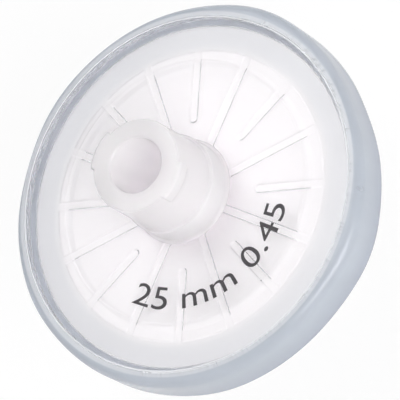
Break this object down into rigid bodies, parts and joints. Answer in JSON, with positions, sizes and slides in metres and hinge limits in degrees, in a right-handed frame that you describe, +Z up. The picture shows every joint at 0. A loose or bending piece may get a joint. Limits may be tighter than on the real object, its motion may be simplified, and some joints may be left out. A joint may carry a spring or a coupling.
{
  "type": "syringe filter",
  "caption": "Disc syringe filter: a membrane sealed between ribbed translucent housing halves, with a lock hub for the syringe above and a tapered outlet tip below.",
  "frame": {"origin": "centre of the outlet tip's flat end, the lowest point of the part", "axes": "+Z up along the flow axis, from the outlet tip to the inlet hub; +X along one of the short ribs"},
  "size_m": [0.03, 0.03, 0.0226],
  "materials": {
    "housing": "natural translucent polypropylene, lightly hazed, smooth moulded skin",
    "membrane": "opaque white porous film, matt",
    "band": "translucent overmoulded polypropylene, blue-grey where it is thick"
  },
  "bodies": {
    "root": {"inlet_half": "housing", "outlet_half": "housing", "membrane": "membrane", "seal_band": "band"}
  },
  "joints": []
}
